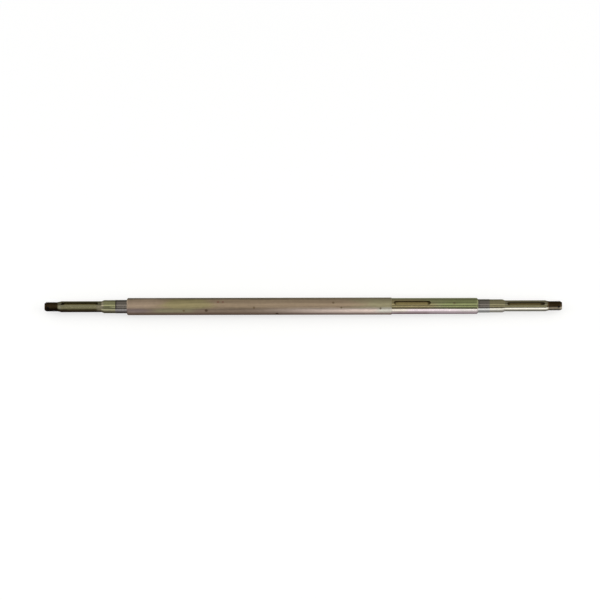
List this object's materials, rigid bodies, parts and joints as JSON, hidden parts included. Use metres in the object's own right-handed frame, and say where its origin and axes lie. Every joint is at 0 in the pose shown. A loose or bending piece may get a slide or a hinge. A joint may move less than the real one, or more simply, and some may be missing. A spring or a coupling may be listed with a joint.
{
  "type": "rear axle",
  "caption": "Solid stepped live axle with a keyed sprocket seat, ground bearing seats, keyed wheel seats and threaded tips cross-drilled for split pins.",
  "frame": {"origin": "on the axle's axis, midway between its two ends", "axes": "+X along the axle towards the end beside the sprocket seat, +Z out of the sprocket keyway and the right wheel keyway"},
  "size_m": [0.967, 0.032, 0.032],
  "materials": {
    "plated_steel": "yellow-passivated zinc plate on turned steel, bare grey where the bearing seats are ground"
  },
  "bodies": {
    "root": {"axle_shaft": "plated_steel"}
  },
  "joints": []
}
